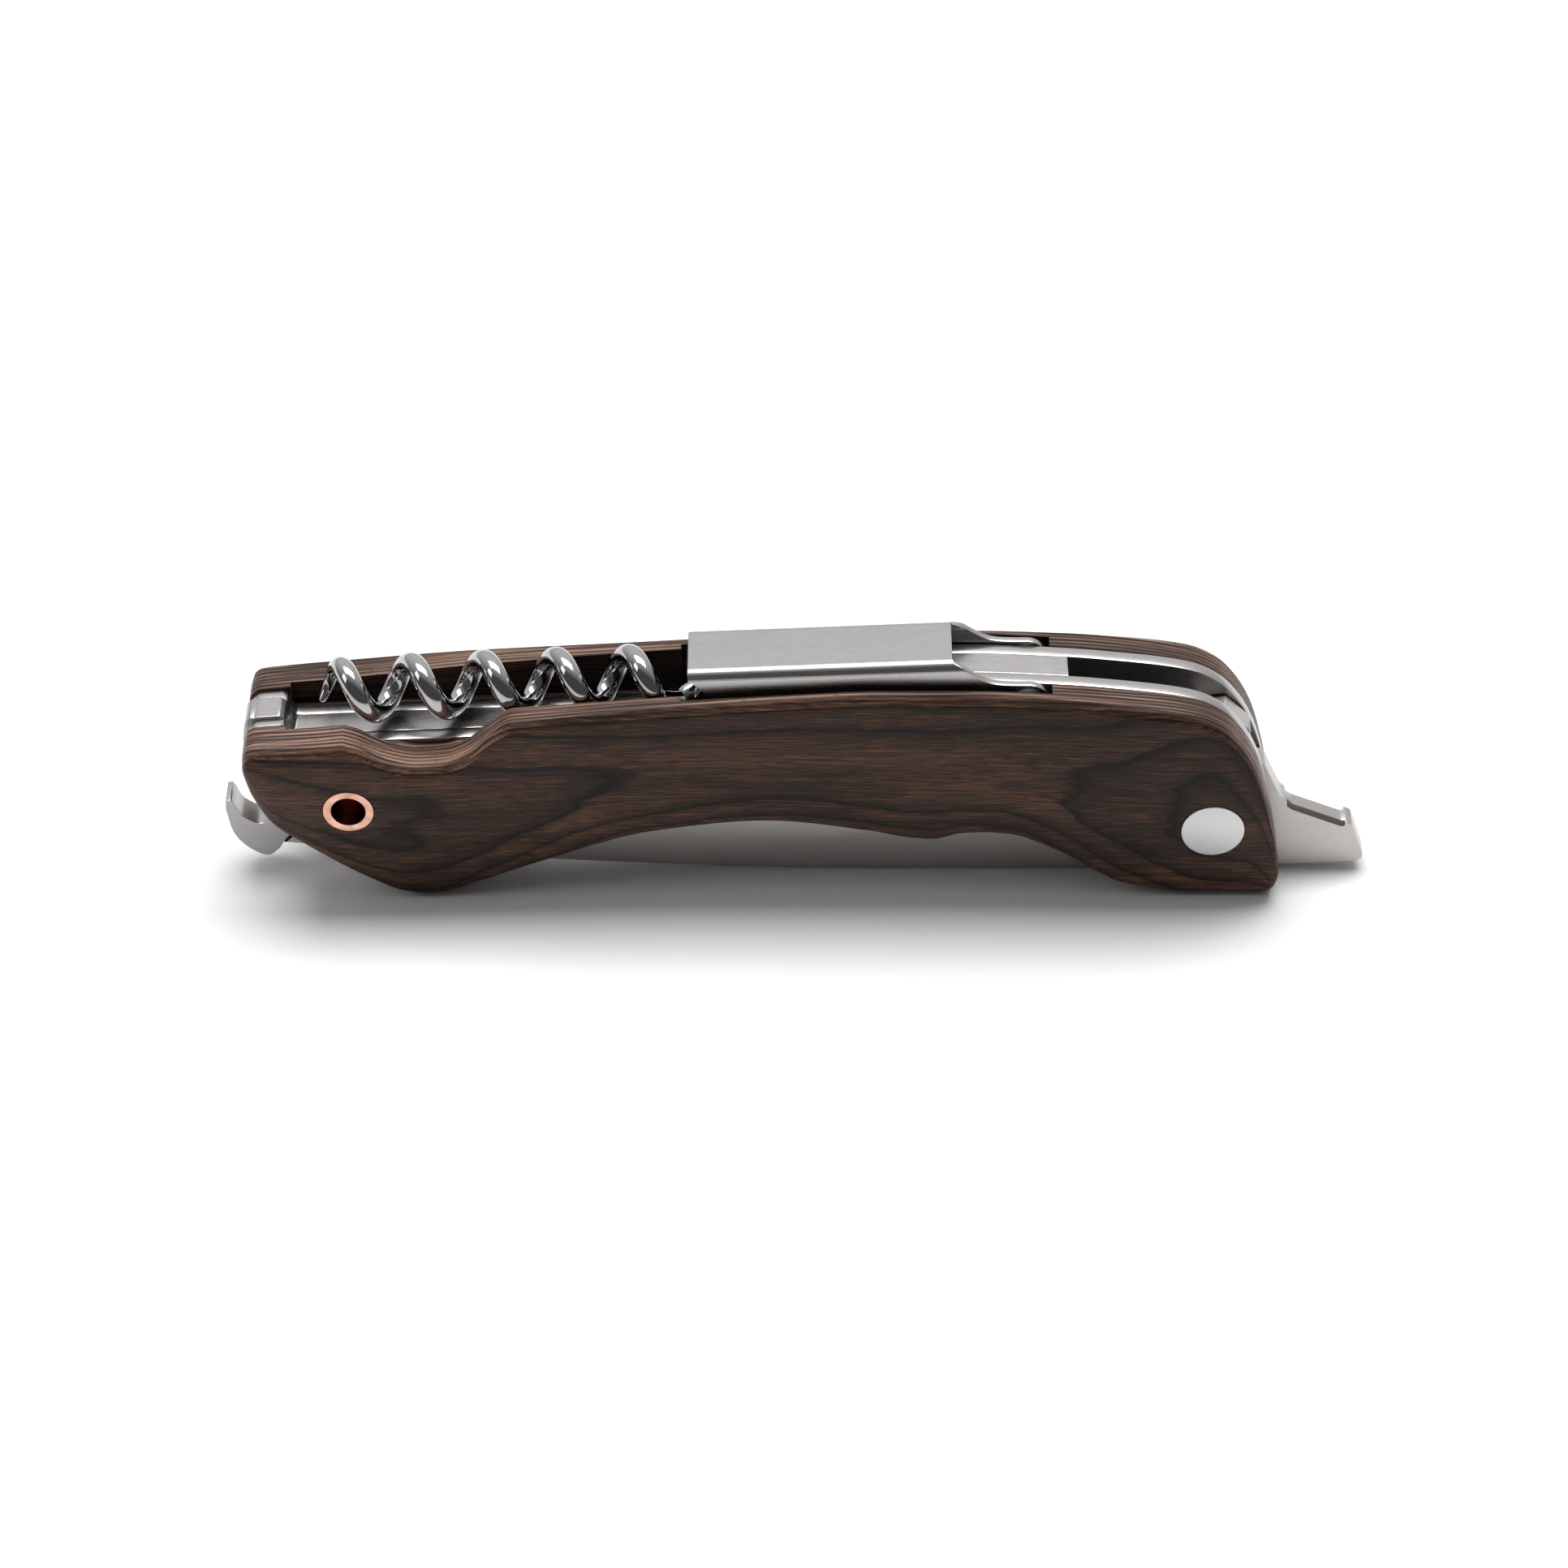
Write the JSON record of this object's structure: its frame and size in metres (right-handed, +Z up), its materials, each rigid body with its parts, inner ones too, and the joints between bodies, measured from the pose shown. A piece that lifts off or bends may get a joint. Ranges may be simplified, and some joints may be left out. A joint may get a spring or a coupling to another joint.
{
  "type": "waiters corkscrew",
  "caption": "Folding waiter's corkscrew with wooden scales, a channel lever, a spiral worm, a knife with a tail and a fixed cap-lifter hook.",
  "frame": {"origin": "centre of the bounding box in X and Y, at the surface that the closed tool stands on", "axes": "+X along the handle from the cap-lifter hook to the knife's tail, +Y through the handle from the front scale (with the thumb notch) to the back scale, +Z up from the belly to the lever"},
  "size_m": [0.1344, 0.018, 0.0335],
  "materials": {
    "laminated_wood": "oiled dark laminated veneer",
    "satin_steel": "satin",
    "brushed_steel": "brushed along its length",
    "polished_steel": "polished",
    "copper": "satin copper",
    "bronze": "plain bronze"
  },
  "bodies": {
    "handle": {"front_scale": "laminated_wood", "back_scale": "laminated_wood", "front_liner": "satin_steel", "back_liner": "satin_steel", "middle_plate": "satin_steel", "left_liner_rivet": "satin_steel", "middle_liner_rivet": "satin_steel", "right_liner_rivet": "satin_steel", "lanyard_tube": "copper", "blade_rivet": "satin_steel", "blade_rivet_cap": "satin_steel", "blade_bush": "bronze", "front_blade_washer": "bronze", "back_blade_washer": "bronze", "blade_stop_pin": "satin_steel", "lever_pin": "satin_steel", "front_lever_washer": "bronze", "back_lever_washer": "bronze", "worm_pin": "satin_steel"},
    "lever": {"lever": "brushed_steel"},
    "worm": {"worm": "polished_steel"},
    "blade": {"blade": "satin_steel"}
  },
  "joints": [
    {"name": "blade_hinge", "type": "hinge", "parent": "handle", "child": "blade", "pos_m": [0.04845, 0, 0.0115], "axis": [0, -1, 0], "range_deg": [0, 175]},
    {"name": "lever_hinge", "type": "hinge", "parent": "handle", "child": "lever", "pos_m": [0.02655, 0, 0.0281], "axis": [0, 1, 0], "range_deg": [0, 95]},
    {"name": "worm_hinge", "type": "hinge", "parent": "handle", "child": "worm", "pos_m": [-0.00845, 0, 0.0267], "axis": [0, 1, 0], "range_deg": [0, 90.25]}
  ],
  "couplings": [
    {"joint": "worm_hinge", "follows": "lever_hinge", "ratio": 0.95}
  ]
}
